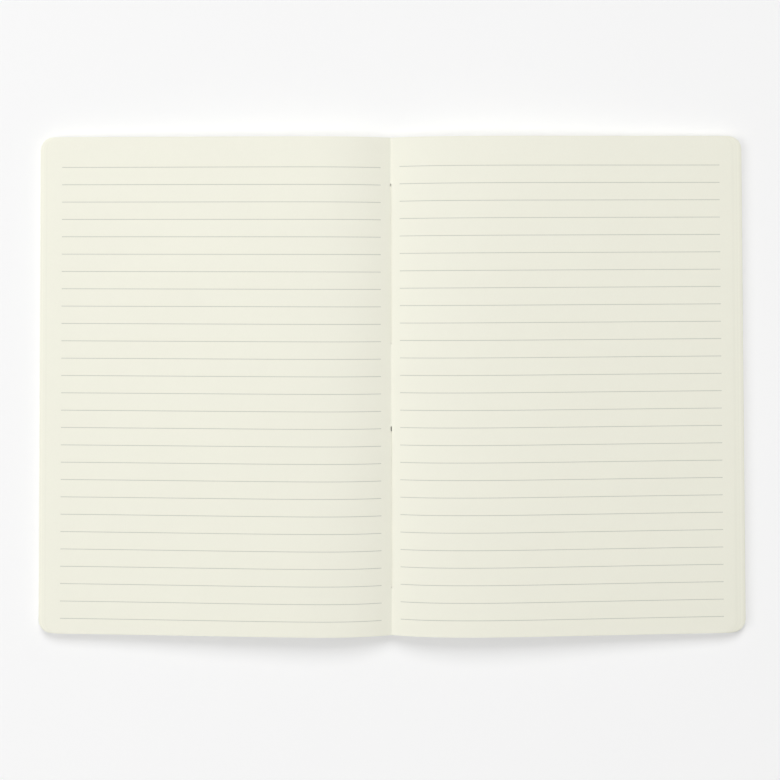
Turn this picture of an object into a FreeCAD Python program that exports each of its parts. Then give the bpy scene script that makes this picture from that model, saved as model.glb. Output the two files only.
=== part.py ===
import FreeCAD, Part
import math
import os
from collections import namedtuple

# An open, ruled, thread-sewn notebook lying on its back, sizes in millimetres.
# X runs across the spread (left page at -X), Y up the page, Z up from the table.
# The origin is under the middle of the fold, on the table.

V = FreeCAD.Vector

# Pages
PAGE_HEIGHT = 250.0
PAGE_WIDTH = 178.0            # from the middle of the fold to the lowest leaf's fore-edge
CORNER_RADIUS = 6.5
SHEET_COUNT = 48              # each folded sheet gives one leaf to each side
SHEET_THICKNESS = 0.095
LEAF_BUNDLES = 6              # steps in which the fore-edge's slope is shown

# Arch of the open pages, each rise measured up from the top of the fore-edge
GUTTER_RISE = 1.5
LEFT_CREST_RISE = 7.3
LEFT_CREST_REACH = 36.5
LEFT_GUTTER_SLOPE = 0.42      # rise for each millimetre out from the gutter
LEFT_CREEP = 4.0              # how much further the lowest leaf reaches than the top one
RIGHT_CREST_RISE = 7.4
RIGHT_CREST_REACH = 46.0
RIGHT_GUTTER_SLOPE = 0.25
RIGHT_CREEP = 5.6
FORE_EDGE_SLOPE = 0.04       # fall for each millimetre towards the fore-edge

# Ruling
RULE_PITCH = 8.73
RULE_WIDTH = 0.35
RULE_HEAD_MARGIN = 15.0       # from the head of the page to the first rule
RULE_TAIL_MARGIN = 7.0        # the least that is left bare at the tail
RULE_INNER_MARGIN = 5.0
RULE_OUTER_MARGIN = 11.8      # measured from the fore-edge of the lowest leaf
RULE_REGISTER = 0.3           # each page's ruling is this far out of line, in opposite ways
INK_THICKNESS = 0.1
INK_CLEARANCE = 0.02

# Cover card
COVER_THICKNESS = 0.4
COVER_CLEARANCE = 0.1         # between the card and the leaves on it
SPINE_WIDTH = 9.6
CREASE_GAP = 0.1              # between the spine panel and each cover

# Sewing
THREAD_DIAMETER = 0.5         # across the corners of its flattened section
THREAD_SIDES = 6
THREAD_CLEARANCE = 0.15
STITCH_LENGTH = 79.5          # from an outer hole to the inner hole beside it
INNER_HOLE_SPACING = 43.0     # between the two inner holes
SLIT_LENGTH = 2.4
THREAD_BEND = 0.7
THREAD_TAIL = 8.0

# Sizes that follow from those above
BLOCK_BASE = COVER_THICKNESS + COVER_CLEARANCE
EDGE_TOP = BLOCK_BASE + SHEET_COUNT * SHEET_THICKNESS
GUTTER_TOP = EDGE_TOP + GUTTER_RISE
HALF_HEIGHT = PAGE_HEIGHT / 2
RULE_LENGTH = PAGE_WIDTH - RULE_INNER_MARGIN - RULE_OUTER_MARGIN
RULE_COUNT = 1 + int((PAGE_HEIGHT - RULE_HEAD_MARGIN - RULE_TAIL_MARGIN) / RULE_PITCH)
TRIM_ALLOWANCE = 2.0          # the block is shaped oversize, then trimmed
INNER_HOLE_Y = INNER_HOLE_SPACING / 2
OUTER_HOLE_Y = INNER_HOLE_Y + STITCH_LENGTH
SLIT_WIDTH = THREAD_DIAMETER + 2 * THREAD_CLEARANCE

PageArch = namedtuple("PageArch", "side crest_reach crest_rise gutter_slope creep")
LEFT_PAGE = PageArch(-1, LEFT_CREST_REACH, LEFT_CREST_RISE, LEFT_GUTTER_SLOPE, LEFT_CREEP)
RIGHT_PAGE = PageArch(1, RIGHT_CREST_REACH, RIGHT_CREST_RISE, RIGHT_GUTTER_SLOPE, RIGHT_CREEP)


def page_poles(page):
    """Poles of the page's two arcs: up from the gutter to the crest, then down to the fore-edge."""
    untrimmed = PAGE_WIDTH + TRIM_ALLOWANCE
    crest = EDGE_TOP + page.crest_rise
    gutter_handle = page.crest_reach / 4
    fore_handle = (untrimmed - page.crest_reach) * 3 / 8
    climb = [
        (0, GUTTER_TOP),
        (gutter_handle, GUTTER_TOP + gutter_handle * page.gutter_slope),
        (page.crest_reach / 2, crest),
        (page.crest_reach, crest),
    ]
    descent = [
        (page.crest_reach, crest),
        (page.crest_reach + fore_handle / 2, crest),
        (untrimmed - fore_handle, EDGE_TOP + fore_handle * FORE_EDGE_SLOPE),
        (untrimmed, EDGE_TOP),
    ]
    return climb, descent


def page_curve(page, share, lift=0.0):
    """The page's line at a share of the stack's height, as edges from the gutter outwards."""
    edges = []
    for arc in page_poles(page):
        curve = Part.BezierCurve()
        curve.setPoles([
            V(page.side * out, 0, BLOCK_BASE + share * (up - BLOCK_BASE) + lift) for out, up in arc
        ])
        edges.append(curve.toShape())
    return edges


def prism_across(edges, y_low, y_high):
    """The area inside edges drawn in the XZ plane, extended along Y."""
    wire = Part.Wire(Part.__sortEdges__(edges))
    prism = Part.Face(wire).extrude(V(0, y_high - y_low, 0))
    prism.translate(V(0, y_low, 0))
    return prism


def trimmed_slab(x_low, x_high, z_low, z_high, trimmed_sides):
    """A slab as high as the page, with the corners on its trimmed sides rounded."""
    slab = Part.makeBox(x_high - x_low, PAGE_HEIGHT, z_high - z_low, V(x_low, -HALF_HEIGHT, z_low))
    corners = [
        edge for edge in slab.Edges
        if abs(edge.tangentAt(0).z) > 0.5
        and any(abs(edge.CenterOfMass.x - side) < 1e-6 for side in trimmed_sides)
    ]
    return slab.makeFillet(CORNER_RADIUS, corners)


def leaf_bundle(index):
    """The block up to one bundle of leaves: the higher the bundle, the less far it reaches."""
    share = (index + 1) / LEAF_BUNDLES
    crept = index / (LEAF_BUNDLES - 1)
    left_reach = PAGE_WIDTH - crept * LEFT_PAGE.creep
    right_reach = PAGE_WIDTH - crept * RIGHT_PAGE.creep
    untrimmed = PAGE_WIDTH + TRIM_ALLOWANCE
    rim = BLOCK_BASE + share * (EDGE_TOP - BLOCK_BASE)
    edges = page_curve(LEFT_PAGE, share) + page_curve(RIGHT_PAGE, share)
    edges.append(Part.makeLine(V(-untrimmed, 0, BLOCK_BASE), V(untrimmed, 0, BLOCK_BASE)))
    edges.append(Part.makeLine(V(-untrimmed, 0, BLOCK_BASE), V(-untrimmed, 0, rim)))
    edges.append(Part.makeLine(V(untrimmed, 0, BLOCK_BASE), V(untrimmed, 0, rim)))
    arched = prism_across(edges, -HALF_HEIGHT - TRIM_ALLOWANCE, HALF_HEIGHT + TRIM_ALLOWANCE)
    highest = EDGE_TOP + max(LEFT_PAGE.crest_rise, RIGHT_PAGE.crest_rise) + TRIM_ALLOWANCE
    plan = trimmed_slab(-left_reach, right_reach, BLOCK_BASE, highest, (-left_reach, right_reach))
    return arched.common(plan)


def sewing_slits():
    """Four slits through the fold, and the grooves under it where the thread lies outside."""
    groove_depth = THREAD_DIAMETER + THREAD_CLEARANCE
    tools = []
    for y in (-OUTER_HOLE_Y, -INNER_HOLE_Y, INNER_HOLE_Y, OUTER_HOLE_Y):
        corner = V(-SLIT_WIDTH / 2, y - SLIT_LENGTH / 2, BLOCK_BASE - TRIM_ALLOWANCE)
        tools.append(Part.makeBox(SLIT_WIDTH, SLIT_LENGTH, GUTTER_TOP + TRIM_ALLOWANCE, corner))
    tail_reach = OUTER_HOLE_Y - THREAD_TAIL - SLIT_LENGTH / 2
    for y_low, y_high in (
        (-OUTER_HOLE_Y, -tail_reach),
        (-INNER_HOLE_Y, INNER_HOLE_Y),
        (tail_reach, OUTER_HOLE_Y),
    ):
        corner = V(-SLIT_WIDTH / 2, y_low, BLOCK_BASE - TRIM_ALLOWANCE)
        tools.append(Part.makeBox(SLIT_WIDTH, y_high - y_low, TRIM_ALLOWANCE + groove_depth, corner))
    return tools


def page_block():
    """All the leaves as one arched block, stepped at the fore-edges and slit for the thread."""
    bundles = [leaf_bundle(index) for index in range(LEAF_BUNDLES)]
    block = bundles[0].multiFuse(bundles[1:]).removeSplitter()
    return block.cut(sewing_slits()).removeSplitter()


def ruled_lines():
    """The printed rules: thin strips that follow the arch of each page."""
    strips = []
    for page in (LEFT_PAGE, RIGHT_PAGE):
        untrimmed = page.side * (PAGE_WIDTH + TRIM_ALLOWANCE)
        under = page_curve(page, 1.0, INK_CLEARANCE)
        over = page_curve(page, 1.0, INK_CLEARANCE + INK_THICKNESS)
        ends = [
            Part.makeLine(
                V(x, 0, z + INK_CLEARANCE), V(x, 0, z + INK_CLEARANCE + INK_THICKNESS)
            )
            for x, z in ((0, GUTTER_TOP), (untrimmed, EDGE_TOP))
        ]
        strip = prism_across(under + over + ends, -RULE_WIDTH / 2, RULE_WIDTH / 2)
        x_ends = sorted(page.side * x for x in (RULE_INNER_MARGIN, RULE_INNER_MARGIN + RULE_LENGTH))
        span = Part.makeBox(RULE_LENGTH, PAGE_HEIGHT, PAGE_WIDTH, V(x_ends[0], -HALF_HEIGHT, 0))
        rule = strip.common(span)
        first = HALF_HEIGHT - RULE_HEAD_MARGIN + page.side * RULE_REGISTER
        strips += [
            rule.translated(V(0, first - row * RULE_PITCH, 0)) for row in range(RULE_COUNT)
        ]
    return Part.makeCompound(strips)


def rounded_path(points, radius):
    """A wire through points with square turns, each turn rounded to the radius."""
    edges = []
    start = points[0]
    for before, corner, after in zip(points, points[1:], points[2:]):
        towards = (corner - before).normalize()
        away = (after - corner).normalize()
        arc_start = corner - towards * radius
        arc_end = corner + away * radius
        middle = corner + (away - towards) * (radius * (1 - math.sqrt(0.5)))
        edges.append(Part.makeLine(start, arc_start))
        edges.append(Part.Arc(arc_start, middle, arc_end).toShape())
        start = arc_end
    edges.append(Part.makeLine(start, points[-1]))
    return Part.Wire(edges)


def sewing_thread():
    """One thread, sewn in and out of the fold through the four slits."""
    steepest = max(LEFT_PAGE.gutter_slope, RIGHT_PAGE.gutter_slope)
    seat = (THREAD_DIAMETER / 2 + THREAD_CLEARANCE / 2) * math.hypot(1, steepest)
    inside = GUTTER_TOP + seat
    outside = BLOCK_BASE + THREAD_DIAMETER / 2
    tail = OUTER_HOLE_Y - THREAD_TAIL
    route = [
        (tail, outside), (OUTER_HOLE_Y, outside), (OUTER_HOLE_Y, inside),
        (INNER_HOLE_Y, inside), (INNER_HOLE_Y, outside),
        (-INNER_HOLE_Y, outside), (-INNER_HOLE_Y, inside),
        (-OUTER_HOLE_Y, inside), (-OUTER_HOLE_Y, outside), (-tail, outside),
    ]
    points = [V(0, y, z) for y, z in route]
    path = rounded_path(points, THREAD_BEND)
    corners = []
    for corner in range(THREAD_SIDES + 1):
        angle = 2 * math.pi * corner / THREAD_SIDES
        corners.append(points[0] + V(math.cos(angle), 0, math.sin(angle)) * (THREAD_DIAMETER / 2))
    return path.makePipeShell([Part.makePolygon(corners)], True, True)


def front_cover():
    """Cover card under the left page."""
    inner = -SPINE_WIDTH / 2 - CREASE_GAP
    return trimmed_slab(-PAGE_WIDTH, inner, 0, COVER_THICKNESS, (-PAGE_WIDTH,))


def back_cover():
    """Cover card under the right page."""
    inner = SPINE_WIDTH / 2 + CREASE_GAP
    return trimmed_slab(inner, PAGE_WIDTH, 0, COVER_THICKNESS, (PAGE_WIDTH,))


def spine_strip():
    """The cover card's panel between its two creases, under the fold."""
    return Part.makeBox(
        SPINE_WIDTH, PAGE_HEIGHT, COVER_THICKNESS, V(-SPINE_WIDTH / 2, -HALF_HEIGHT, 0)
    )


PIECES = {
    "page_block": page_block,
    "ruled_lines": ruled_lines,
    "sewing_thread": sewing_thread,
    "spine_strip": spine_strip,
    "front_cover": front_cover,
    "back_cover": back_cover,
}

os.makedirs("parts", exist_ok=True)
for name, make in PIECES.items():
    shape = make()
    print(name, "solids", len(shape.Solids), "valid", shape.isValid(), "volume", round(shape.Volume, 2))
    shape.exportStep("parts/" + name + ".step")
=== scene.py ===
"""An open, thread-sewn ruled notebook lying on its back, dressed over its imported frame.

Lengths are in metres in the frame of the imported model: X runs across the spread with the left
page at -X, Y runs up the page and Z up from the table. The origin is on the table, under the
middle of the fold.
"""

import logging
import math
from dataclasses import dataclass, field
from enum import Enum

import bpy
import numpy as np
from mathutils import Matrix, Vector


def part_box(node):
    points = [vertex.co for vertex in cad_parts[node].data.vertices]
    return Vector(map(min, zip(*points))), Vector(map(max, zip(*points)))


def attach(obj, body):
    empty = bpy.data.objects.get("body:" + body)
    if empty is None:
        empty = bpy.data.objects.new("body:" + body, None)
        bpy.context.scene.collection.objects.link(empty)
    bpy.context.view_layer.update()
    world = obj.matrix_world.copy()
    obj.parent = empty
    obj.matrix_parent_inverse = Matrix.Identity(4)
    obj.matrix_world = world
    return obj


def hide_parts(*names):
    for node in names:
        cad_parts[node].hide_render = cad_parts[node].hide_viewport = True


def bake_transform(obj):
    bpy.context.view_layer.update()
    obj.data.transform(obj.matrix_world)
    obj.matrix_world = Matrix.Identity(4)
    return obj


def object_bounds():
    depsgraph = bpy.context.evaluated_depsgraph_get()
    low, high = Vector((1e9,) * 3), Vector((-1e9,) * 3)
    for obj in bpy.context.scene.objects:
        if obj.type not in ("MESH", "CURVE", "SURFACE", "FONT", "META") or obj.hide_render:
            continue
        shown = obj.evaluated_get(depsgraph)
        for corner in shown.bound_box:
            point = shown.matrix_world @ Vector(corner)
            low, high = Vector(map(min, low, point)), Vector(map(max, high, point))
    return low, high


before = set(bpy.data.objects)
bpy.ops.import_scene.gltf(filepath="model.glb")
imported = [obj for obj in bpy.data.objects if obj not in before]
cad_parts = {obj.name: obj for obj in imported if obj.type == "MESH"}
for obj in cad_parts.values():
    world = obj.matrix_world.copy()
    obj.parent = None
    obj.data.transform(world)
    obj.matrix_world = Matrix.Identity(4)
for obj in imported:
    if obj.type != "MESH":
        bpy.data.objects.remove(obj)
CAD_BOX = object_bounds()
MM = 0.001
CORNER_RADIUS = 6.5 * MM

log = logging.getLogger("notebook")

Range = tuple[float, float]
Colour = tuple[float, float, float]


class Side(Enum):
    """The side of the fold that a page or a cover lies on."""

    LEFT = -1
    RIGHT = 1

    @property
    def sign(self) -> int:
        """The sign of X on this side."""
        return self.value


class Body(Enum):
    """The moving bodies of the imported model."""

    TEXT_BLOCK = "text_block"
    FRONT_COVER = "front_cover"
    BACK_COVER = "back_cover"


class Slot(Enum):
    """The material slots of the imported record."""

    PAPER = "paper"
    RULE_INK = "rule_ink"
    THREAD = "thread"
    COVER_CARD = "cover_card"


class Surface(Enum):
    """Names of the values that a mesh carries to its node tree or its material."""

    ARCH_HEIGHT = "arch_height"
    SHELL_SIDE = "shell_side"
    LEAF = "leaf"


def linked(name: str, data: bpy.types.ID) -> bpy.types.Object:
    """Makes an object of a mesh, a curve, a lamp or a camera, and puts it in the scene."""
    made = bpy.data.objects.new(name, data)
    bpy.context.scene.collection.objects.link(made)
    return made


class Graph:
    """Adds nodes to one node tree and links them."""

    def __init__(self, tree: bpy.types.NodeTree) -> None:
        """Starts on an empty tree.

        Args:
            tree: The shader or geometry node tree to fill.
        """
        self.tree = tree
        tree.nodes.clear()

    def node(self, kind: str, inputs: dict | None = None, **settings: object) -> bpy.types.Node:
        """Adds a node.

        Args:
            kind: The node's type name.
            inputs: A value, or an output socket to link, for each input's name or number.
            **settings: The node's own properties.

        Returns:
            The new node.
        """
        made = self.tree.nodes.new(kind)
        for key, value in settings.items():
            setattr(made, key, value)
        for key, value in (inputs or {}).items():
            if isinstance(value, bpy.types.NodeSocket):
                self.tree.links.new(value, made.inputs[key])
            else:
                made.inputs[key].default_value = value
        return made

    def math(self, operation: str, *terms: object) -> bpy.types.NodeSocket:
        """Adds a Math node.

        Args:
            operation: The operation's name in Blender.
            *terms: Numbers or sockets, in the order of the node's inputs.

        Returns:
            Its output socket.
        """
        return self.node("ShaderNodeMath", dict(enumerate(terms)), operation=operation).outputs[0]

    def map_range(self, value: bpy.types.NodeSocket, low: float, high: float) -> bpy.types.NodeSocket:
        """Spreads a value of 0 to 1 over low to high, and gives the output socket."""
        return self.node("ShaderNodeMapRange", {"Value": value, "To Min": low, "To Max": high}).outputs[0]

    def vary(self, value: bpy.types.NodeSocket, share: float) -> bpy.types.NodeSocket:
        """Turns a value of 0 to 1 into a factor round 1 that differs by up to a share, and gives it."""
        return self.map_range(value, 1.0 - share, 1.0 + share)

    def combine(self, **axes: object) -> bpy.types.NodeSocket:
        """Makes a vector of the axes that are given, with 0 for the others, and gives its socket."""
        return self.node("ShaderNodeCombineXYZ", axes).outputs[0]

    def attribute(self, surface: Surface) -> bpy.types.NodeSocket:
        """Reads one of the mesh's own values in a geometry tree, and gives the output socket."""
        named = self.node("GeometryNodeInputNamedAttribute", {"Name": surface.value}, data_type="FLOAT")
        return named.outputs["Attribute"]

    def place(self) -> bpy.types.NodeOutputs:
        """Reads where each point is in a geometry tree, and gives the sockets X, Y and Z."""
        position = self.node("GeometryNodeInputPosition").outputs[0]
        return self.node("ShaderNodeSeparateXYZ", {0: position}).outputs

    def draw(self, number: bpy.types.NodeSocket, seed: bpy.types.NodeSocket) -> bpy.types.NodeSocket:
        """Draws a value from 0 to 1 for each number, and gives the output socket."""
        drawn = self.node("FunctionNodeRandomValue", {"ID": number, "Seed": seed}, data_type="FLOAT")
        return next(socket for socket in drawn.outputs if socket.enabled)

    def copies(self, geometry: bpy.types.NodeSocket, amount: bpy.types.NodeSocket) -> bpy.types.NodeOutputs:
        """Repeats geometry as instances.

        Args:
            geometry: What to repeat.
            amount: How many copies to make.

        Returns:
            The sockets Geometry and Duplicate Index.
        """
        whole = self.node("GeometryNodeGeometryToInstance", {"Geometry": geometry}).outputs[0]
        inputs = {"Geometry": whole, "Amount": amount}
        return self.node("GeometryNodeDuplicateElements", inputs, domain="INSTANCE").outputs

    def realize(self, geometry: bpy.types.NodeSocket) -> bpy.types.NodeSocket:
        """Makes instances into plain geometry, and gives the output socket."""
        return self.node("GeometryNodeRealizeInstances", {"Geometry": geometry}).outputs[0]

    def move(self, geometry: bpy.types.NodeSocket, place: bpy.types.NodeSocket) -> bpy.types.NodeSocket:
        """Moves each point to its new place, and gives the output socket."""
        return self.node("GeometryNodeSetPosition", {"Geometry": geometry, "Position": place}).outputs[0]


class GeometryRecipe:
    """A Geometry Nodes tree with named inputs, run once to give a plain mesh."""

    SOCKETS = {
        int: "NodeSocketInt",
        float: "NodeSocketFloat",
        bpy.types.Object: "NodeSocketObject",
        bpy.types.Material: "NodeSocketMaterial",
    }

    def __init__(self, name: str) -> None:
        """Makes the tree, with a geometry input and a geometry output.

        Args:
            name: The tree's name.
        """
        self.tree = bpy.data.node_groups.new(name, "GeometryNodeTree")
        self.graph = Graph(self.tree)
        for direction in ("INPUT", "OUTPUT"):
            self.tree.interface.new_socket("Geometry", in_out=direction, socket_type="NodeSocketGeometry")
        self.source = self.graph.node("NodeGroupInput")
        self.values: dict[str, object] = {}

    def input(self, name: str, value: int | float | bpy.types.ID) -> bpy.types.NodeSocket:
        """Adds a named input.

        Args:
            name: The input's name.
            value: What the input is set to when the tree runs.

        Returns:
            The socket that gives the value inside the tree.
        """
        kind = self.SOCKETS[type(value)]
        made = self.tree.interface.new_socket(name, in_out="INPUT", socket_type=kind)
        self.values[made.identifier] = value
        return self.source.outputs[name]

    def finish(self, geometry: bpy.types.NodeSocket, material: bpy.types.NodeSocket) -> None:
        """Ends the tree in Realize Instances and Set Material.

        Args:
            geometry: The geometry to give out.
            material: The material input's socket.
        """
        realized = self.graph.realize(geometry)
        dressed = self.graph.node("GeometryNodeSetMaterial", {"Geometry": realized, "Material": material})
        self.graph.node("NodeGroupOutput", {"Geometry": dressed.outputs[0]})

    def run(self, name: str, start: bpy.types.Mesh) -> bpy.types.Mesh:
        """Runs the tree on a mesh.

        Args:
            name: The new mesh's name.
            start: The mesh that the tree starts from.

        Returns:
            The result as a plain mesh.
        """
        carrier = linked(name + ".carrier", start)
        modifier = carrier.modifiers.new(self.tree.name, "NODES")
        modifier.node_group = self.tree
        for identifier, value in self.values.items():
            modifier[identifier] = value
        graph = bpy.context.evaluated_depsgraph_get()
        mesh = bpy.data.meshes.new_from_object(
            carrier.evaluated_get(graph), preserve_all_data_layers=True, depsgraph=graph
        )
        mesh.name = name
        bpy.data.objects.remove(carrier)
        return mesh


@dataclass(frozen=True)
class Noise:
    """One layer of uneven tone or height on a material.

    Attributes:
        grain: Size of its features, in metres.
        strength: How far it moves the tone, as a share.
        detail: How many finer layers are added to it.
        stretch: How much longer the features are along Y than across.
        roughness: How strong each finer layer is beside the one before it.
    """

    grain: float
    strength: float
    detail: float = 2.0
    stretch: float = 1.0
    roughness: float = 0.55


@dataclass(frozen=True)
class SheetFinish:
    """A matt fibrous finish, such as paper, card, print or thread.

    Attributes:
        name: The material's name.
        colour: Its colour, in linear light.
        roughness: Lowest and highest roughness.
        specular: How strongly it shines, where 0.5 is plain.
        layers: Uneven tone, from the slowest to the finest.
        relief: Height of the fibres, in metres.
        relief_share: How much of that height the light shows.
        leaf_tone: How far one leaf's tone may be from another's, as a share.
        sheen: Weight of the soft sheen at grazing angles.
    """

    name: str
    colour: Colour
    roughness: Range
    specular: float
    layers: tuple[Noise, ...]
    relief: float
    relief_share: float = 0.6
    leaf_tone: float = 0.0
    sheen: float = 0.0

    def material(self) -> bpy.types.Material:
        """Builds the material.

        Returns:
            The material, procedural on object coordinates.
        """
        made = bpy.data.materials.new(self.name)
        made.use_nodes = True
        made.diffuse_color = (*self.colour, 1.0)
        graph = Graph(made.node_tree)
        place = graph.node("ShaderNodeTexCoord").outputs["Object"]
        tone: bpy.types.NodeSocket | float = 1.0
        finest = None
        for layer in self.layers:
            finest = self._noise(graph, place, layer)
            tone = graph.math("MULTIPLY", tone, graph.vary(finest, layer.strength))
        if self.leaf_tone:
            leaf = graph.node("ShaderNodeAttribute", attribute_name=Surface.LEAF.value).outputs["Fac"]
            shade = graph.node("ShaderNodeTexWhiteNoise", {"W": leaf}, noise_dimensions="1D")
            tone = graph.math("MULTIPLY", tone, graph.vary(shade.outputs["Value"], self.leaf_tone))
        colour = graph.node("ShaderNodeVectorMath", {0: self.colour, "Scale": tone}, operation="SCALE")
        bump = graph.node(
            "ShaderNodeBump", {"Strength": self.relief_share, "Distance": self.relief, "Height": finest}
        )
        shader = graph.node(
            "ShaderNodeBsdfPrincipled",
            {
                "Base Color": colour.outputs[0],
                "Roughness": graph.map_range(finest, *self.roughness),
                "Specular IOR Level": self.specular,
                "Sheen Weight": self.sheen,
                "Normal": bump.outputs[0],
            },
        )
        graph.node("ShaderNodeOutputMaterial", {"Surface": shader.outputs[0]})
        return made

    @staticmethod
    def _noise(graph: Graph, place: bpy.types.NodeSocket, layer: Noise) -> bpy.types.NodeSocket:
        """Adds one layer's noise.

        Args:
            graph: The material's nodes.
            place: Object coordinates.
            layer: The layer to add.

        Returns:
            The noise as a value from 0 to 1.
        """
        across = 1.0 / layer.grain
        mapped = graph.node(
            "ShaderNodeMapping", {"Vector": place, "Scale": (across, across / layer.stretch, across)}
        )
        noise = graph.node(
            "ShaderNodeTexNoise",
            {
                "Vector": mapped.outputs[0],
                "Scale": 1.0,
                "Detail": layer.detail,
                "Roughness": layer.roughness,
            },
        )
        return noise.outputs[0]


PAPER = SheetFinish(
    name="cream_writing_paper",
    colour=(0.876, 0.869, 0.756),
    roughness=(0.84, 0.94),
    specular=0.25,
    layers=(Noise(42 * MM, 0.012), Noise(6 * MM, 0.006), Noise(0.45 * MM, 0.02, 3.0, 2.2)),
    relief=0.02 * MM,
    leaf_tone=0.025,
)
INK = SheetFinish(
    name="grey_rule_ink",
    colour=(0.57, 0.58, 0.50),
    roughness=(0.7, 0.85),
    specular=0.3,
    layers=(Noise(9 * MM, 0.05), Noise(0.3 * MM, 0.14, 3.0)),
    relief=0.01 * MM,
)
THREAD = SheetFinish(
    name="twisted_cream_thread",
    colour=(0.86, 0.85, 0.75),
    roughness=(0.75, 0.92),
    specular=0.3,
    layers=(Noise(3 * MM, 0.02), Noise(0.08 * MM, 0.06, 3.0, 3.0)),
    relief=0.03 * MM,
    sheen=0.25,
)
CARD = SheetFinish(
    name="pale_cover_card",
    colour=(0.865, 0.852, 0.76),
    roughness=(0.72, 0.88),
    specular=0.3,
    layers=(Noise(30 * MM, 0.02), Noise(2.5 * MM, 0.025, 4.0, 1.6), Noise(0.35 * MM, 0.06, 4.0)),
    relief=0.04 * MM,
)


def plain_piece(name: str, mesh: bpy.types.Mesh) -> bpy.types.Object:
    """Puts a finished mesh in the scene.

    Args:
        name: The piece's name.
        mesh: Its mesh, placed in the frame.

    Returns:
        The object, at the origin and unturned.
    """
    piece = linked(name, mesh)
    log.info("%s: %d faces", name, len(mesh.polygons))
    return piece


def joined(name: str, meshes: list[bpy.types.Mesh]) -> bpy.types.Mesh:
    """Joins meshes that have the same material.

    Args:
        name: The joined mesh's name.
        meshes: The meshes to join.

    Returns:
        The joined mesh.
    """
    parts = [linked(mesh.name, mesh) for mesh in meshes]
    with bpy.context.temp_override(active_object=parts[0], selected_editable_objects=parts):
        bpy.ops.object.join()
    mesh = parts[0].data
    mesh.name = name
    bpy.data.objects.remove(parts[0])
    return mesh


def carry(mesh: bpy.types.Mesh, surface: Surface, values: np.ndarray) -> None:
    """Keeps one value for each point on a mesh."""
    mesh.attributes.new(surface.value, "FLOAT", "POINT").data.foreach_set("value", values)


def run_of(start: float, end: float, steps: int) -> np.ndarray:
    """Even places from start up to end, without the end itself."""
    return np.linspace(start, end, steps + 1)[:-1]


def corner_columns(reach: float, steps: int) -> np.ndarray:
    """Places of a grid's columns over a rounded corner that ends at reach."""
    turns = np.linspace(0, math.pi / 2, steps + 1)
    return reach - CORNER_RADIUS + CORNER_RADIUS * np.sin(turns)


def corner_cut(x: np.ndarray, reach: float) -> np.ndarray:
    """How much of the height the rounded corners take away at each x."""
    past = np.clip(np.abs(x) - (reach - CORNER_RADIUS), 0, CORNER_RADIUS)
    return CORNER_RADIUS - np.sqrt(CORNER_RADIUS**2 - past**2)


def grid_shell(
    name: str,
    x: np.ndarray,
    y: np.ndarray,
    low: np.ndarray | float,
    high: np.ndarray | float,
    kept: np.ndarray | None = None,
) -> bpy.types.Mesh:
    """A closed sheet on a grid of points, with the cells that aren't kept left open.

    Args:
        name: The mesh's name.
        x: Of each point, by column and row.
        y: Of each point.
        low: Height of the lower face, of each point or of all.
        high: Height of the upper face.
        kept: Which cells between the columns and rows are there, or None for all.

    Returns:
        The mesh, smooth on its two faces and flat on its edges.
    """
    columns, rows = x.shape
    if kept is None:
        kept = np.ones((columns - 1, rows - 1), bool)
    index = np.arange(columns * rows).reshape(columns, rows)
    column, row = np.nonzero(kept)
    corners = [
        index[column, row],
        index[column + 1, row],
        index[column + 1, row + 1],
        index[column, row + 1],
    ]
    under = np.stack(corners[::-1], axis=1)
    over = np.stack(corners, axis=1) + index.size
    around = np.pad(kept, 1)
    beside = [
        around[column + 1, row],
        around[column + 2, row + 1],
        around[column + 1, row + 2],
        around[column, row + 1],
    ]
    walls = []
    for turn, filled in enumerate(beside):
        start, end = corners[turn][~filled], corners[(turn + 1) % 4][~filled]
        walls.append(np.stack([start, end, end + index.size, start + index.size], axis=1))
    faces = np.concatenate([under, over, *walls])
    sides = [np.stack(np.broadcast_arrays(x, y, z), axis=2) for z in (low, high)]
    points = np.concatenate(sides).reshape(-1, 3)
    used, faces = np.unique(faces, return_inverse=True)
    mesh = bpy.data.meshes.new(name)
    mesh.from_pydata(points[used].tolist(), [], faces.reshape(-1, 4).tolist())
    smooth = np.arange(len(mesh.polygons)) < 2 * len(under)
    mesh.polygons.foreach_set("use_smooth", smooth)
    edges = np.zeros(len(mesh.loops), int)
    mesh.loops.foreach_get("edge_index", edges)
    sharp = np.zeros(len(mesh.edges), bool)
    sharp[edges[8 * len(under):]] = True
    mesh.attributes.new("sharp_edge", "BOOLEAN", "EDGE").data.foreach_set("value", sharp)
    mesh.update()
    return mesh


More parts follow.
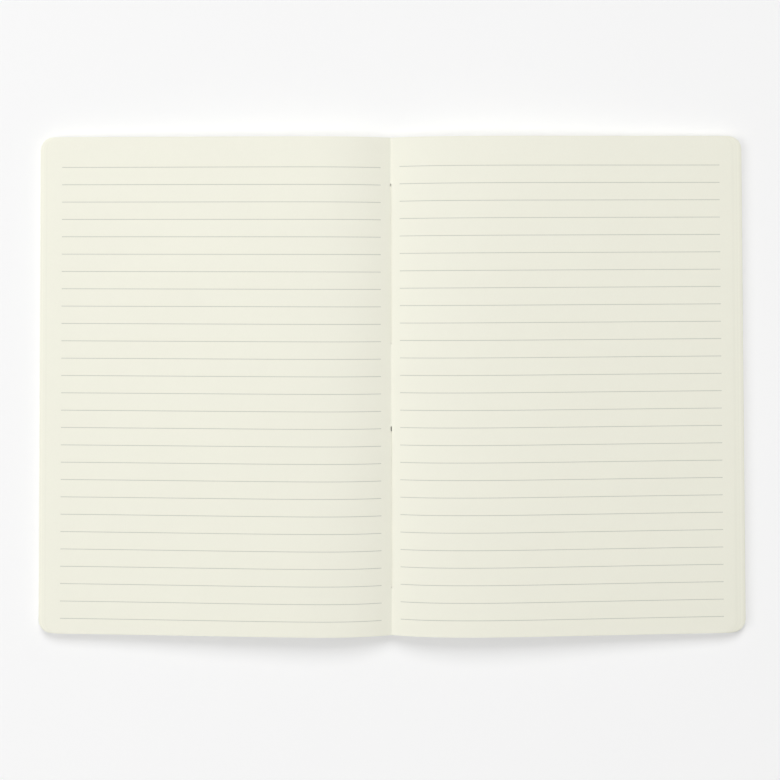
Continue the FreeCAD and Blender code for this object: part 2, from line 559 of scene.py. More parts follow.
@dataclass(frozen=True)
class PageArch:
    """An open page's line across the spread: up from the gutter to its crest, then down.

    Attributes:
        crest_reach: From the gutter to the crest.
        crest_rise: From the top of the fore-edge up to the crest.
        gutter_slope: Rise for each metre out from the gutter.
        creep: How much further the lowest leaf reaches than the top one.
        turn: How far the page is turned up towards its fore-edge, in radians.
        draw_in: How far the fore-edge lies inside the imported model's.
        lean: How far the fore-edge leans in towards the head, in radians.
        gutter_rise: From the top of the fore-edge up to the gutter.
        fore_slope: Fall for each metre towards the fore-edge.
        gutter_hold: Share of the way up for which the gutter's slope is held.
        fore_hold: Share of the way down for which the fore-edge's fall is held, and half of it the crest.
        samples: How many points each half of the line is drawn with.
    """

    crest_reach: float
    crest_rise: float
    gutter_slope: float
    creep: float
    turn: float
    draw_in: float
    lean: float
    gutter_rise: float = 1.5 * MM
    fore_slope: float = 0.04
    gutter_hold: float = 0.25
    fore_hold: float = 0.375
    samples: int = 400

    def height(self, out: np.ndarray, edge_top: float, untrimmed: float) -> np.ndarray:
        """Height of the top of the page.

        Args:
            out: Distances from the gutter.
            edge_top: Height of the top of the fore-edge.
            untrimmed: Reach of the page before it was trimmed.

        Returns:
            The heights at those distances.
        """
        gutter, crest = edge_top + self.gutter_rise, edge_top + self.crest_rise
        near = self.crest_reach * self.gutter_hold
        far = (untrimmed - self.crest_reach) * self.fore_hold
        climb = [
            (0.0, gutter),
            (near, gutter + near * self.gutter_slope),
            (self.crest_reach / 2, crest),
            (self.crest_reach, crest),
        ]
        descent = [
            (self.crest_reach, crest),
            (self.crest_reach + far / 2, crest),
            (untrimmed - far, edge_top + far * self.fore_slope),
            (untrimmed, edge_top),
        ]
        share = np.linspace(0, 1, self.samples)[:, None]
        weights = np.hstack(
            [(1 - share) ** 3, 3 * share * (1 - share) ** 2, 3 * share**2 * (1 - share), share**3]
        )
        line = np.concatenate([weights @ np.array(climb), weights @ np.array(descent)])
        return np.interp(out, line[:, 0], line[:, 1])


LEFT_PAGE = PageArch(
    crest_reach=36.5 * MM,
    crest_rise=7.2 * MM,
    gutter_slope=0.36,
    creep=4.0 * MM,
    turn=0.0046,
    draw_in=0.4 * MM,
    lean=0.0064,
)
RIGHT_PAGE = PageArch(
    crest_reach=46.0 * MM,
    crest_rise=7.4 * MM,
    gutter_slope=0.36,
    creep=5.6 * MM,
    turn=0.003,
    draw_in=0.3 * MM,
    lean=0.006,
)


def page_turn(x: np.ndarray) -> np.ndarray:
    """How far up each x is moved by the small turn of its page."""
    return np.where(x < 0, LEFT_PAGE.turn, RIGHT_PAGE.turn) * np.abs(x)


def page_lean(x: np.ndarray, y: np.ndarray, reach: float) -> np.ndarray:
    """How far across each point is moved, so that the fore-edges lean in towards the head.

    Args:
        x: Across the spread.
        y: Up the page.
        reach: From the fold to the fore-edge.

    Returns:
        The distances to add to x.
    """
    draw_in = np.where(x < 0, LEFT_PAGE.draw_in, RIGHT_PAGE.draw_in)
    lean = np.where(x < 0, LEFT_PAGE.lean, RIGHT_PAGE.lean)
    return -x / reach * (draw_in + lean * y)


@dataclass(frozen=True)
class Slit:
    """A slit through the fold.

    Attributes:
        middle: Where its middle is along the fold.
        length: Its length along the fold.
        stitch: 1 where the stitch inside the fold runs on towards the head, -1 towards the tail.
    """

    middle: float
    length: float
    stitch: int

    @property
    def ends(self) -> Range:
        """The slit's ends along the fold."""
        return self.middle - self.length / 2, self.middle + self.length / 2

    def thread_place(self, room: float) -> float:
        """Where the thread goes through, drawn to the end that its stitch pulls it to."""
        return self.middle + self.stitch * (self.length / 2 - room)


@dataclass
class Sewing:
    """The continuous thread through the fold, and the slits and grooves that it runs in.

    Attributes:
        diameter: Across the thread.
        clearance: Between the thread and the paper.
        slits: The slits, from the head to the tail.
        bend: How far from a hole the thread starts to turn.
        tail: How far each end runs back under the fold.
        strands: How many strands are twisted together.
        strand_share: A strand's radius, as a share of the thread's.
        strand_sides: How many sides a strand's ring has.
        twist: Length of thread in which the strands turn once.
        step: Length of thread between two rings of its mesh.
    """

    diameter: float = 0.36 * MM
    clearance: float = 0.08 * MM
    slits: tuple[Slit, ...] = (
        Slit(101.0 * MM, 1.5 * MM, -1),
        Slit(21.5 * MM, 0.9 * MM, 1),
        Slit(-21.6 * MM, 2.8 * MM, -1),
        Slit(-101.0 * MM, 0.9 * MM, 1),
    )
    bend: float = 0.5 * MM
    tail: float = 8.0 * MM
    strands: int = 3
    strand_share: float = 0.52
    strand_sides: int = 7
    twist: float = 1.9 * MM
    step: float = 0.24 * MM

    @property
    def slit_half_width(self) -> float:
        """Half of the width of a slit, across the fold."""
        return self.diameter / 2 + self.clearance

    @property
    def groove_depth(self) -> float:
        """Depth of the grooves under the fold."""
        return self.diameter + self.clearance

    def openings(self) -> list[Range]:
        """Where the slits lie along the fold."""
        return [slit.ends for slit in self.slits]

    def grooves(self) -> list[Range]:
        """Where the lowest leaves are open along the fold, slits included."""
        (head_low, head_high), (_, upper), (lower, _), (tail_low, tail_high) = self.openings()
        return [(head_low - self.tail, head_high), (lower, upper), (tail_low, tail_high + self.tail)]

    def route(self, low: float, high: float) -> list[Vector]:
        """The thread's control points, three at each hole's corner.

        Args:
            low: Height of the thread under the fold.
            high: Height of the thread in the gutter.

        Returns:
            The points, from one end of the thread to the other.
        """
        head, upper, lower, tail = (slit.thread_place(self.slit_half_width) for slit in self.slits)
        corners = [
            (head - self.tail, low), (head, low), (head, high), (upper, high), (upper, low),
            (lower, low), (lower, high), (tail, high), (tail, low), (tail + self.tail, low),
        ]
        turns = [Vector((0.0, y, z)) for y, z in corners]
        points = [turns[0]]
        for before, turn, after in zip(turns, turns[1:], turns[2:]):
            points.append(turn + (before - turn).normalized() * self.bend)
            points.append(turn)
            points.append(turn + (after - turn).normalized() * self.bend)
        return [*points, turns[-1]]

    def centreline(self, points: list[Vector]) -> bpy.types.Object:
        """A smooth curve along the thread.

        Args:
            points: Its control points.

        Returns:
            The curve's object, which the thread's tree reads.
        """
        curve = bpy.data.curves.new("thread_centreline", "CURVE")
        curve.dimensions = "3D"
        spline = curve.splines.new("NURBS")
        spline.points.add(len(points) - 1)
        for point, place in zip(spline.points, points):
            point.co = (*place, 1.0)
        spline.use_endpoint_u = True
        spline.order_u = 3
        spline.resolution_u = 8
        return linked("thread_centreline", curve)

    def recipe(self, line: bpy.types.Object, material: bpy.types.Material) -> GeometryRecipe:
        """The tree that twists strands round the centreline.

        Args:
            line: The centreline's object.
            material: The thread's material.

        Returns:
            The tree with its inputs set.
        """
        recipe = GeometryRecipe("twisted_strands")
        graph = recipe.graph
        strand_radius = self.diameter / 2 * self.strand_share
        path = recipe.input("Centreline", line)
        strands = recipe.input("Strands", self.strands)
        step = recipe.input("Step", self.step)
        turn = recipe.input("Turn for each step", math.tau * self.step / self.twist)
        radius = recipe.input("Strand radius", strand_radius)
        offset = recipe.input("Strand offset", self.diameter / 2 - strand_radius)
        finish = recipe.input("Thread", material)
        curve = graph.node("GeometryNodeObjectInfo", {"Object": path}).outputs["Geometry"]
        even = graph.node("GeometryNodeResampleCurve", {"Curve": curve, "Length": step}, mode="LENGTH")
        index = graph.node("GeometryNodeInputIndex").outputs[0]
        tilted = graph.node(
            "GeometryNodeSetCurveTilt",
            {"Curve": even.outputs[0], "Tilt": graph.math("MULTIPLY", index, turn)},
        )
        centres = graph.node(
            "GeometryNodeCurvePrimitiveCircle", {"Resolution": strands, "Radius": offset}
        ).outputs["Curve"]
        ring = graph.node(
            "GeometryNodeCurvePrimitiveCircle", {"Resolution": self.strand_sides, "Radius": radius}
        )
        rings = graph.node(
            "GeometryNodeInstanceOnPoints", {"Points": centres, "Instance": ring.outputs["Curve"]}
        )
        profile = graph.realize(rings.outputs[0])
        swept = graph.node(
            "GeometryNodeCurveToMesh",
            {"Curve": tilted.outputs[0], "Profile Curve": profile, "Fill Caps": True},
        )
        recipe.finish(swept.outputs[0], finish)
        return recipe

    def dress(self, base: float, gutter_top: float) -> bpy.types.Object:
        """Builds the thread.

        Args:
            base: Height of the underside of the lowest leaf.
            gutter_top: Height of the gutter of the open sheet.

        Returns:
            The thread's piece.
        """
        steepest = max(LEFT_PAGE.gutter_slope, RIGHT_PAGE.gutter_slope)
        seat = (self.diameter / 2 + self.clearance / 2) * math.hypot(1, steepest)
        line = self.centreline(self.route(base + self.diameter / 2, gutter_top + seat))
        start = bpy.data.meshes.new("thread_start")
        mesh = self.recipe(line, THREAD.material()).run("sewing_thread_strands", start)
        bpy.data.objects.remove(line)
        piece = plain_piece("sewing_thread_strands", mesh)
        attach(piece, Body.TEXT_BLOCK.value)
        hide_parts("sewing_thread")
        return piece


@dataclass(frozen=True)
class Spacing:
    """How close together the columns and rows of a sheet's grid are.

    Attributes:
        near: Between columns near the gutter.
        far: Between columns on the rest of the page.
        corner_steps: How many columns a rounded corner has.
        along: The most between rows, where infinity adds none to those that the slits need.
    """

    near: float
    far: float
    corner_steps: int
    along: float


LEAF_SPACING = Spacing(near=4.5 * MM, far=8.5 * MM, corner_steps=5, along=math.inf)
OPEN_SPACING = Spacing(near=1.6 * MM, far=3.0 * MM, corner_steps=9, along=4 * MM)


@dataclass(frozen=True)
class Wave:
    """A slow wave of the open sheet.

    Attributes:
        along: How far up the page it turns by one radian.
        across: The same across the spread, negative where it runs the other way.
        start: Its phase at the origin, in radians.
    """

    along: float
    across: float
    start: float

    def share(self, x: np.ndarray, y: np.ndarray) -> np.ndarray:
        """The wave's height at each point, from 0 to 1."""
        return 0.5 + 0.5 * np.sin(y / self.along + x / self.across + self.start)


@dataclass
class TextBlock:
    """The folded sheets, nested into one section: a stack of leaves with the open sheet on top.

    Attributes:
        sewing: The thread's sizes, for the slits.
        sheets: How many folded sheets there are.
        sheet_thickness: Of one sheet.
        gutter_zone: How far out from the gutter the columns are close together.
        trim_allowance: How much the leaves were shaped oversize.
        fill: Share of each leaf's room in the stack that its paper takes.
        uneven: Share of that room by which one leaf may lie higher than another.
        ragged: How far a leaf's edge may fall short of its neighbours'.
        creep_power: How much the creep gathers in the highest leaves, where 1 is an even slope.
        open_lift: How far the open sheet stands off the stack at its fore-edges.
        lift_start: Where it starts to, as a share of the reach.
        lift_steady: Share of that lift that the edge wave leaves alone.
        edge_wave: How the lift changes along the fore-edges.
        page_wave: How the open sheet waves elsewhere.
        wave_height: Of the page wave.
        wave_start: How far out from the gutter the page wave has its full height.
        seed: Of the leaves' small differences.
    """

    sewing: Sewing
    sheets: int = 48
    sheet_thickness: float = 0.095 * MM
    gutter_zone: float = 60 * MM
    trim_allowance: float = 2.0 * MM
    fill: float = 0.78
    uneven: float = 0.15
    ragged: float = 0.07 * MM
    creep_power: float = 12.0
    open_lift: float = 0.15 * MM
    lift_start: float = 0.45
    lift_steady: float = 0.45
    edge_wave: Wave = Wave(along=46 * MM, across=70 * MM, start=0.6)
    page_wave: Wave = Wave(along=75 * MM, across=-52 * MM, start=2.1)
    wave_height: float = 0.05 * MM
    wave_start: float = 40 * MM
    seed: int = 7
    base: float = field(init=False)
    reach: float = field(init=False)
    half_height: float = field(init=False)

    def __post_init__(self) -> None:
        """Takes the block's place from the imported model."""
        lowest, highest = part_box("page_block")
        self.base, self.reach, self.half_height = lowest.z, highest.x, highest.y

    @property
    def edge_top(self) -> float:
        """Height of the top of the fore-edge."""
        return self.base + self.sheets * self.sheet_thickness

    @property
    def gutter_top(self) -> float:
        """Height of the gutter of the open sheet."""
        return self.edge_top + LEFT_PAGE.gutter_rise

    def arch(self, x: np.ndarray) -> np.ndarray:
        """Height of the top of the open pages at each x."""
        untrimmed = self.reach + self.trim_allowance
        left = LEFT_PAGE.height(-x, self.edge_top, untrimmed)
        right = RIGHT_PAGE.height(x, self.edge_top, untrimmed)
        return np.where(x < 0, left, right)

    def crept(self, x: np.ndarray) -> np.ndarray:
        """Moves the places on the lowest sheet in to where they are on the top one."""
        creep = np.where(x < 0, LEFT_PAGE.creep, RIGHT_PAGE.creep)
        return x * (1 - creep / self.reach)

    def columns(self, spacing: Spacing) -> np.ndarray:
        """Places of the grid's columns across the spread, closest near the gutter.

        Args:
            spacing: How close together they are.

        Returns:
            The columns' x on the lowest sheet.
        """
        slit, near, corner = self.sewing.slit_half_width, self.gutter_zone, self.reach - CORNER_RADIUS
        out = np.concatenate(
            [
                run_of(slit, near, round((near - slit) / spacing.near)),
                run_of(near, corner, round((corner - near) / spacing.far)),
                corner_columns(self.reach, spacing.corner_steps),
            ]
        )
        return np.concatenate([-out[::-1], [0.0], out])

    def rows(self, openings: list[Range], spacing: Spacing) -> np.ndarray:
        """Places of the grid's rows up the fold, with one at each end of an opening.

        Args:
            openings: Where the fold is open.
            spacing: How close together the rows are.

        Returns:
            The rows' y at the fold.
        """
        ends = sorted({-self.half_height, self.half_height, *(end for gap in openings for end in gap)})
        runs = [
            run_of(low, high, max(1, math.ceil((high - low) / spacing.along)))
            for low, high in zip(ends, ends[1:])
        ]
        return np.concatenate([*runs, ends[-1:]])

    def plan(self, columns: np.ndarray, rows: np.ndarray) -> tuple[np.ndarray, np.ndarray]:
        """The lowest sheet's grid seen from above, drawn in at the rounded corners.

        Args:
            columns: The columns' x.
            rows: The rows' y at the fold.

        Returns:
            The x and the y of each point, by column and row.
        """
        share = (self.half_height - corner_cut(columns, self.reach)) / self.half_height
        x = np.repeat(columns[:, None], len(rows), axis=1)
        y = share[:, None] * rows[None, :]
        return x + page_lean(x, y, self.reach), y + page_turn(x)

    def kept(self, columns: np.ndarray, rows: np.ndarray, openings: list[Range]) -> np.ndarray:
        """Which cells of the grid are paper.

        Args:
            columns: The columns' x.
            rows: The rows' y.
            openings: Where the fold is open.

        Returns:
            True for each cell that is there.
        """
        across = np.abs((columns[1:] + columns[:-1]) / 2) < self.sewing.slit_half_width
        middle = (rows[1:] + rows[:-1]) / 2
        along = np.zeros(len(middle), bool)
        for low, high in openings:
            along |= (middle > low) & (middle < high)
        return ~(across[:, None] & along[None, :])

    def flat_sheet(self, openings: list[Range]) -> bpy.types.Mesh:
        """The sheet that the stack repeats, flat, with the arch's height kept as a value.

        Args:
            openings: Where its fold is open.

        Returns:
            The mesh, on whose points the tree sets their place in the stack.
        """
        columns = self.columns(LEAF_SPACING)
        rows = self.rows(openings, LEAF_SPACING)
        x, y = self.plan(columns, rows)
        mesh = grid_shell("flat_sheet", x, y, 0.0, 1.0, self.kept(columns, rows, openings))
        places = np.zeros(3 * len(mesh.vertices))
        mesh.vertices.foreach_get("co", places)
        places = places.reshape(-1, 3)
        carry(mesh, Surface.ARCH_HEIGHT, self.arch(self.crept(places[:, 0])))
        carry(mesh, Surface.SHELL_SIDE, places[:, 2])
        return mesh

    def stack_recipe(self, first: int, count: int, material: bpy.types.Material) -> GeometryRecipe:
        """The tree that repeats a flat sheet as leaves and lays each in its place.

        Args:
            first: Number of the lowest leaf that it makes, counted from the bottom.
            count: How many leaves it makes.
            material: The paper.

        Returns:
            The tree with its inputs set.
        """
        recipe = GeometryRecipe("stacked_leaves")
        graph = recipe.graph
        first_leaf = recipe.input("First leaf", first)
        leaves = recipe.input("Leaves", count)
        sheets = recipe.input("Sheets in the block", self.sheets)
        base = recipe.input("Base", self.base)
        reach = recipe.input("Reach", self.reach)
        left = recipe.input("Left creep", LEFT_PAGE.creep)
        right = recipe.input("Right creep", RIGHT_PAGE.creep)
        fill = recipe.input("Fill", self.fill)
        uneven = recipe.input("Uneven", self.uneven)
        ragged = recipe.input("Ragged", self.ragged)
        power = recipe.input("Creep power", self.creep_power)
        seed = recipe.input("Seed", self.seed)
        paper = recipe.input("Paper", material)
        copies = graph.copies(recipe.source.outputs["Geometry"], leaves)
        number = graph.math("ADD", first_leaf, copies["Duplicate Index"])
        numbered = graph.node(
            "GeometryNodeStoreNamedAttribute",
            {"Geometry": copies["Geometry"], "Name": Surface.LEAF.value, "Value": number},
            data_type="FLOAT",
            domain="INSTANCE",
        )
        leaf = graph.attribute(Surface.LEAF)
        rise = graph.draw(leaf, seed)
        draw_in = graph.draw(leaf, graph.math("ADD", seed, 1))
        place = graph.place()
        is_left = graph.math("LESS_THAN", place["X"], 0.0)
        creep = graph.node("ShaderNodeMix", {"Factor": is_left, "A": right, "B": left}).outputs["Result"]
        share = graph.math("DIVIDE", leaf, graph.math("SUBTRACT", sheets, 1))
        share = graph.math("POWER", share, power)
        short = graph.math("MULTIPLY_ADD", creep, share, graph.math("MULTIPLY", ragged, draw_in))
        scale = graph.math("SUBTRACT", 1.0, graph.math("DIVIDE", short, reach))
        level = graph.math("MULTIPLY_ADD", graph.attribute(Surface.SHELL_SIDE), fill, leaf)
        level = graph.math("DIVIDE", graph.math("MULTIPLY_ADD", rise, uneven, level), sheets)
        room = graph.math("SUBTRACT", graph.attribute(Surface.ARCH_HEIGHT), base)
        shorter = graph.math("DIVIDE", graph.math("MULTIPLY", ragged, rise), reach)
        laid = graph.combine(
            X=graph.math("MULTIPLY", place["X"], scale),
            Y=graph.math("MULTIPLY", place["Y"], graph.math("SUBTRACT", 1.0, shorter)),
            Z=graph.math("MULTIPLY_ADD", room, level, base),
        )
        recipe.finish(graph.move(graph.realize(numbered.outputs[0]), laid), paper)
        return recipe

    def stack(self, material: bpy.types.Material) -> bpy.types.Object:
        """All the leaves under the open sheet, the lowest of them grooved for the thread.

        Args:
            material: The paper.

        Returns:
            The stack's piece.
        """
        gutter_pitch = (self.gutter_top - self.base) / self.sheets
        grooved = math.ceil(self.sewing.groove_depth / gutter_pitch)
        layers = (
            (0, grooved, self.sewing.grooves()),
            (grooved, self.sheets - 1 - grooved, self.sewing.openings()),
        )
        meshes = [
            self.stack_recipe(first, count, material).run("leaves", self.flat_sheet(openings))
            for first, count, openings in layers
        ]
        piece = plain_piece("leaf_stack", joined("leaf_stack", meshes))
        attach(piece, Body.TEXT_BLOCK.value)
        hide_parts("page_block")
        return piece

    def stand_off(self, x: np.ndarray, y: np.ndarray) -> np.ndarray:
        """How far the open sheet stands off the stack: a little, and more towards the fore-edges.

        Args:
            x: Across the spread.
            y: Up the page.

        Returns:
            The heights to add to the arch.
        """
        out = np.abs(x)
        towards_edge = np.clip((out / self.reach - self.lift_start) / (1 - self.lift_start), 0, 1) ** 2
        uneven = self.lift_steady + (1 - self.lift_steady) * self.edge_wave.share(x, y)
        ease = np.clip(out / self.wave_start, 0, 1)
        lift = towards_edge * self.open_lift * uneven
        return lift + ease * self.wave_height * self.page_wave.share(x, y)

    def open_sheet(self, material: bpy.types.Material) -> bpy.types.Object:
        """The sheet that lies open on top.

        Args:
            material: The paper.

        Returns:
            The open sheet's piece.
        """
        columns = self.columns(OPEN_SPACING)
        rows = self.rows(self.sewing.openings(), OPEN_SPACING)
        x, y = self.plan(columns, rows)
        x = self.crept(x)
        top = self.arch(x) + self.stand_off(x, y)
        kept = self.kept(columns, rows, self.sewing.openings())
        mesh = grid_shell("open_sheet", x, y, top - self.sheet_thickness, top, kept)
        carry(mesh, Surface.LEAF, np.full(len(mesh.vertices), float(self.sheets)))
        mesh.materials.append(material)
        piece = plain_piece("open_sheet", mesh)
        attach(piece, Body.TEXT_BLOCK.value)
        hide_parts("page_block")
        return piece


@dataclass
class PrintedRuling:
    """The rules printed on the two open pages.

    Attributes:
        pitch: From one rule to the next.
        width: Of a rule.
        inner_margin: From the gutter to the rules.
        drift: How far to the left of its place the ruling starts on each page.
        register: How far each page's ruling is out of line, in opposite ways.
        clearance: From the paper up to the ink's underside.
        thickness: Of the ink.
        wander: How far a rule may be from its place.
        narrowing: How much of their length the rules lose for each metre towards the head.
        step: Length of rule between two columns of its mesh.
        drop_height: How far above the table the rules are let down from.
        seed: Of the rules' small differences.
    """

    pitch: float = 8.73 * MM
    width: float = 0.32 * MM
    inner_margin: float = 4.75 * MM
    drift: float = 0.3 * MM
    register: float = 0.3 * MM
    clearance: float = 0.015 * MM
    thickness: float = 0.015 * MM
    wander: float = 0.04 * MM
    narrowing: float = 0.042
    step: float = 1.6 * MM
    drop_height: float = 1.0
    seed: int = 3
    outer_end: float = field(init=False)
    first: float = field(init=False)
    count: int = field(init=False)

    def __post_init__(self) -> None:
        """Takes the ruling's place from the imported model."""
        lowest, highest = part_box("ruled_lines")
        self.outer_end = highest.x
        self.first = highest.y - self.width / 2 - self.register
        last = lowest.y + self.width / 2 + self.register
        self.count = 1 + round((self.first - last) / self.pitch)

    def flat_pair(self) -> bpy.types.Mesh:
        """One rule on each page, flat, with its upper and lower face told apart by height.

        Returns:
            The mesh that the tree repeats down the pages.
        """
        count = round((self.outer_end - self.inner_margin) / self.step)
        meshes = []
        for side in Side:
            out = np.linspace(self.inner_margin - side.sign * self.drift, self.outer_end, count + 1)
            x = np.sort(side.sign * out)[:, None].repeat(2, axis=1)
            y = np.array([-self.width / 2, self.width / 2]) + side.sign * self.register
            meshes.append(grid_shell("flat_rule", x, y[None, :] + page_turn(x), 0.0, 1.0))
        return joined("flat_rules", meshes)

    def recipe(self, sheet: bpy.types.Object, material: bpy.types.Material) -> GeometryRecipe:
        """The tree that repeats the rules down the pages and lays them on the open sheet.

        Args:
            sheet: The open sheet.
            material: The ink.

        Returns:
            The tree with its inputs set.
        """
        recipe = GeometryRecipe("rules_on_the_sheet")
        graph = recipe.graph
        count = recipe.input("Rules", self.count)
        pitch = recipe.input("Pitch", self.pitch)
        first = recipe.input("First rule", self.first)
        clearance = recipe.input("Clearance", self.clearance)
        thickness = recipe.input("Ink thickness", self.thickness)
        wander = recipe.input("Wander", self.wander)
        narrowing = recipe.input("Narrowing towards the head", self.narrowing)
        seed = recipe.input("Seed", self.seed)
        paper = recipe.input("Open sheet", sheet)
        ink = recipe.input("Ink", material)
        copies = graph.copies(recipe.source.outputs["Geometry"], count)
        row = copies["Duplicate Index"]
        off = graph.math("SUBTRACT", graph.draw(row, seed), 0.5)
        down = graph.math("SUBTRACT", first, graph.math("MULTIPLY", pitch, row))
        down = graph.math("MULTIPLY_ADD", off, wander, down)
        narrowed = graph.math("SUBTRACT", 1.0, graph.math("MULTIPLY", down, narrowing))
        leaning = graph.node(
            "GeometryNodeScaleInstances",
            {"Instances": copies["Geometry"], "Scale": graph.combine(X=narrowed, Y=1.0, Z=1.0)},
        )
        spread = graph.node(
            "GeometryNodeTranslateInstances",
            {"Instances": leaning.outputs[0], "Translation": graph.combine(Y=down)},
        )
        place = graph.place()
        target = graph.node("GeometryNodeObjectInfo", {"Object": paper}).outputs["Geometry"]
        dropped = graph.node(
            "GeometryNodeRaycast",
            {
                "Target Geometry": target,
                "Source Position": graph.combine(X=place["X"], Y=place["Y"], Z=self.drop_height),
                "Ray Direction": (0.0, 0.0, -1.0),
                "Ray Length": 2 * self.drop_height,
            },
        )
        lift = graph.math("MULTIPLY_ADD", place["Z"], thickness, clearance)
        landed = graph.node(
            "ShaderNodeVectorMath",
            {0: dropped.outputs["Hit Position"], 1: graph.combine(Z=lift)},
            operation="ADD",
        )
        recipe.finish(graph.move(graph.realize(spread.outputs[0]), landed.outputs[0]), ink)
        return recipe

    def dress(self, sheet: bpy.types.Object) -> bpy.types.Object:
        """Prints the rules on the open sheet.

        Args:
            sheet: The open sheet.

        Returns:
            The ruling's piece.
        """
        mesh = self.recipe(sheet, INK.material()).run("printed_rules", self.flat_pair())
        piece = plain_piece("printed_rules", mesh)
        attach(piece, Body.TEXT_BLOCK.value)
        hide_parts("ruled_lines")
        return piece


@dataclass
class CoverCard:
    """The wrapped cover card: a panel under the fold and a cover on each side of it.

    Attributes:
        panel_half: Half of the rigid middle of the spine panel.
        crease_depth: Depth of the scored line under each crease.
        crease_half: Half of that line's width.
        bend_half: Half of the width that would bend when a cover swings; not used.
        panel_steps: How many cells the spine panel has across.
        fine_half: How far past the crease the columns are close together.
        fine_steps: How many columns there are up to there.
        page_steps: How many there are from there to the rounded corner.
        corner_steps: How many a rounded corner has.
        row_steps: How many cells the card has from its tail to its head.
    """

    panel_half: float = 3.9 * MM
    crease_depth: float = 0.1 * MM
    crease_half: float = 0.45 * MM
    bend_half: float = 0.7 * MM
    panel_steps: int = 6
    fine_half: float = 1.2 * MM
    fine_steps: int = 18
    page_steps: int = 29
    corner_steps: int = 9
    row_steps: int = 12
    crease: float = field(init=False)
    thickness: float = field(init=False)
    reach: float = field(init=False)
    half_height: float = field(init=False)

    def __post_init__(self) -> None:
        """Takes the card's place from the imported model."""
        spine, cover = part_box("spine_strip"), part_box("back_cover")
        self.crease = (spine[1].x + cover[0].x) / 2
        self.thickness, self.reach, self.half_height = cover[1].z, cover[1].x, cover[1].y

    def card(self, name: str, x: np.ndarray, material: bpy.types.Material) -> bpy.types.Mesh:
        """A piece of the card.

        Args:
            name: The mesh's name.
            x: Its columns, from left to right.
            material: The card's material.

        Returns:
            The mesh, with a scored line under the crease.
        """
        half_heights = self.half_height - corner_cut(x, self.reach)
        y = half_heights[:, None] * np.linspace(-1, 1, self.row_steps + 1)[None, :]
        x = x[:, None].repeat(self.row_steps + 1, axis=1)
        score = np.clip(1 - np.abs(np.abs(x) - self.crease) / self.crease_half, 0, 1)
        x = x + page_lean(x, y, self.reach)
        mesh = grid_shell(name, x, y, self.crease_depth * score, self.thickness)
        mesh.materials.append(material)
        return mesh

    def cover(self, side: Side, body: Body, material: bpy.types.Material) -> bpy.types.Object:
        """A cover, with a scored line under its crease and close columns round it.

        Args:
            side: Which side of the fold it is on.
            body: The body whose imported part it replaces, and whose name it takes.
            material: The card's material.

        Returns:
            The cover's piece.
        """
        fine_end = self.crease + self.fine_half
        out = np.concatenate(
            [
                run_of(self.panel_half, fine_end, self.fine_steps),
                run_of(fine_end, self.reach - CORNER_RADIUS, self.page_steps),
                corner_columns(self.reach, self.corner_steps),
            ]
        )
        name = f"{body.value}_card"
        piece = plain_piece(name, self.card(name, np.sort(side.sign * out), material))
        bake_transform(piece)
        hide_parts(body.value)
        return piece

    def dress(self) -> None:
        """Builds the panel and both covers."""
        material = CARD.material()
        panel = np.linspace(-self.panel_half, self.panel_half, self.panel_steps + 1)
        spine = plain_piece("spine_card", self.card("spine_card", panel, material))
        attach(spine, Body.TEXT_BLOCK.value)
        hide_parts("spine_strip")
        self.cover(Side.LEFT, Body.FRONT_COVER, material)
        self.cover(Side.RIGHT, Body.BACK_COVER, material)


@dataclass(frozen=True)
class SoftLamp:
    """A square soft light that faces the notebook.

    Attributes:
        name: The lamp's name.
        place: Where it stands.
        size: Of its sides.
        power: In watts.
    """

    name: str
    place: tuple[float, float, float]
    size: float
    power: float

    def hang(self) -> None:
        """Puts the lamp in the scene."""
        lamp = bpy.data.lights.new(self.name, "AREA")
        lamp.shape = "SQUARE"
        lamp.size = self.size
        lamp.energy = self.power
        stand = linked(self.name, lamp)
        stand.location = self.place
        stand.rotation_euler = (-Vector(self.place)).to_track_quat("-Z", "Y").to_euler()


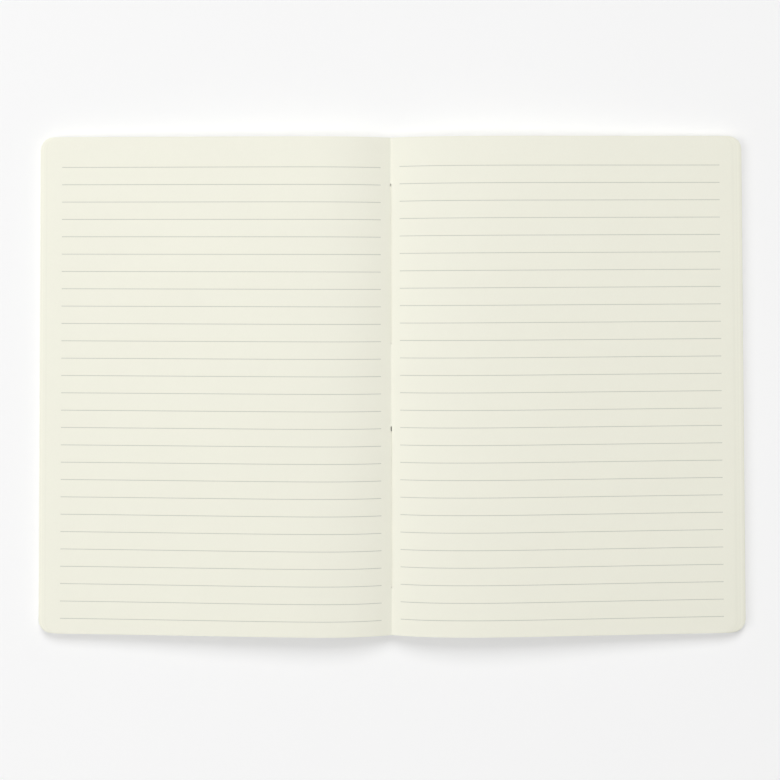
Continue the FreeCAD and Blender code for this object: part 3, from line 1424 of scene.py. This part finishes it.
@dataclass
class Studio:
    """The pale floor, the soft light and the camera at the photograph's angle.

    Attributes:
        lamps: The soft lights.
        sky: Strength of the even light from all round.
        floor_side: Length of the floor's sides.
        floor_drop: How far the floor lies under the notebook, so that they don't touch.
        floor_tone: The floor's tone.
        floor_uneven: How far that tone differs from place to place, as a share.
        floor_grain: Size of those differences.
        floor_roughness: How matt the floor is.
        floor_glow: Added to the floor where the camera sees it, to keep it near white.
        opening_inset: How far the opening under the notebook stays inside its outline.
        opening_steps: How many straight edges round a corner of the opening.
        photo_side_px: Side of the photograph.
        focal_px: Focal length, in the photograph's pixels.
        optical_centre_above_px: How far the lens points above the photograph's middle.
        sensor_width_mm: Width of the camera's sensor.
        camera_place: Where the camera stands.
        camera_turn: How the camera is turned from looking straight down.
    """

    lamps: tuple[SoftLamp, ...] = (
        SoftLamp("key_from_the_head", (0.0, 2.1, 2.35), 1.5, 46.8),
        SoftLamp("soft_light_from_the_left", (-1.3, 0.0, 1.5), 1.2, 12.2),
        SoftLamp("soft_light_overhead", (0.0, -0.15, 2.2), 1.2, 13.5),
        SoftLamp("soft_light_from_below", (0.3, -0.4, -1.6), 1.2, 16.0),
    )
    sky: float = 0.16
    floor_side: float = 6.0
    floor_drop: float = 0.05 * MM
    floor_tone: float = 0.84
    floor_uneven: float = 0.005
    floor_grain: float = 1 / 9
    floor_roughness: float = 0.5
    floor_glow: float = 0.131
    opening_inset: float = 0.4 * MM
    opening_steps: int = 6
    photo_side_px: int = 780
    focal_px: float = 1379.1
    optical_centre_above_px: float = 110.0
    sensor_width_mm: float = 36.0
    camera_place: tuple[float, float, float] = (1.56 * MM, 51.3 * MM, 700 * MM)
    camera_turn: tuple[float, float, float] = (0.00299, 0.00291, -0.0025)

    def seen(self, graph: Graph) -> bpy.types.NodeSocket:
        """1 on rays that show the floor or the sky, to the camera or in a reflection."""
        rays = graph.node("ShaderNodeLightPath").outputs
        seen = graph.math("MAXIMUM", rays["Is Camera Ray"], rays["Is Glossy Ray"])
        return graph.math("MAXIMUM", seen, rays["Is Transmission Ray"])

    def floor_material(self) -> bpy.types.Material:
        """The floor's pale finish, which is clear from below."""
        made = bpy.data.materials.new("pale_table")
        made.use_nodes = True
        graph = Graph(made.node_tree)
        seen = self.seen(graph)
        place = graph.node("ShaderNodeTexCoord").outputs["Object"]
        noise = graph.node("ShaderNodeTexNoise", {"Vector": place, "Scale": 1 / self.floor_grain})
        tone = graph.math("MULTIPLY", graph.vary(noise.outputs[0], self.floor_uneven), self.floor_tone)
        diffuse = graph.node(
            "ShaderNodeBsdfDiffuse", {"Color": tone, "Roughness": self.floor_roughness}
        )
        glow = graph.math("MULTIPLY", seen, self.floor_glow)
        shine = graph.node("ShaderNodeEmission", {"Strength": glow})
        lit = graph.node("ShaderNodeAddShader", {0: diffuse.outputs[0], 1: shine.outputs[0]})
        clear = graph.node("ShaderNodeBsdfTransparent")
        behind = graph.node("ShaderNodeNewGeometry").outputs["Backfacing"]
        mixed = graph.node("ShaderNodeMixShader", {0: behind, 1: lit.outputs[0], 2: clear.outputs[0]})
        graph.node("ShaderNodeOutputMaterial", {"Surface": mixed.outputs[0]})
        return made

    def floor_points(self) -> list[tuple[float, float, float]]:
        """Pairs of points round the opening under the notebook, each with the floor's corner beyond it."""
        half = self.floor_side / 2
        reach, half_height, _ = CAD_BOX[1]
        straight_x, straight_y = reach - CORNER_RADIUS, half_height - CORNER_RADIUS
        radius = CORNER_RADIUS - self.opening_inset
        points = []
        for quarter, (x, y) in enumerate(((1, 1), (-1, 1), (-1, -1), (1, -1))):
            for step in range(self.opening_steps + 1):
                turn = (quarter + step / self.opening_steps) * math.pi / 2
                across = x * straight_x + radius * math.cos(turn)
                along = y * straight_y + radius * math.sin(turn)
                across += float(page_lean(across, along, reach - self.opening_inset))
                points += [(across, along, -self.floor_drop), (x * half, y * half, -self.floor_drop)]
        return points

    def lay_floor(self) -> None:
        """Lays the floor, open under the notebook so that light reaches the covers' outsides."""
        points = self.floor_points()
        total = len(points)
        faces = [(i, i + 1, (i + 3) % total, (i + 2) % total) for i in range(0, total, 2)]
        mesh = bpy.data.meshes.new("table")
        mesh.from_pydata(points, [], faces)
        mesh.materials.append(self.floor_material())
        floor = linked("table", mesh)

    def light(self) -> None:
        """Lights the scene evenly from all round and softly from the head and the left."""
        world = bpy.data.worlds.new("even_light")
        world.use_nodes = True
        graph = Graph(world.node_tree)
        strength = graph.map_range(self.seen(graph), self.sky, 1.0)
        background = graph.node("ShaderNodeBackground", {"Strength": strength})
        background.inputs["Color"].default_value = (1.0, 1.0, 1.0, 1.0)
        graph.node("ShaderNodeOutputWorld", {"Surface": background.outputs[0]})
        bpy.context.scene.world = world
        for lamp in self.lamps:
            lamp.hang()

    def aim_camera(self) -> None:
        """Sets the camera where the photograph was taken from."""
        data = bpy.data.cameras.new("camera")
        data.sensor_width = self.sensor_width_mm
        data.lens = self.focal_px * data.sensor_width / self.photo_side_px
        data.shift_y = -self.optical_centre_above_px / self.photo_side_px
        camera = linked("camera", data)
        camera.location = self.camera_place
        camera.rotation_euler = self.camera_turn
        bpy.context.scene.camera = camera

    def build(self) -> None:
        """Sets up the floor, the light, the camera and how colours are shown."""
        self.lay_floor()
        self.light()
        self.aim_camera()
        bpy.context.scene.view_settings.view_transform = "Standard"


def main() -> None:
    """Builds the notebook and its studio."""
    logging.basicConfig(level=logging.INFO, format="%(name)s %(message)s")
    sewing = Sewing()
    block = TextBlock(sewing)
    paper = PAPER.material()
    block.stack(paper)
    sheet = block.open_sheet(paper)
    PrintedRuling().dress(sheet)
    sewing.dress(block.base, block.gutter_top)
    CoverCard().dress()
    Studio().build()


if __name__ == "__main__":
    main()
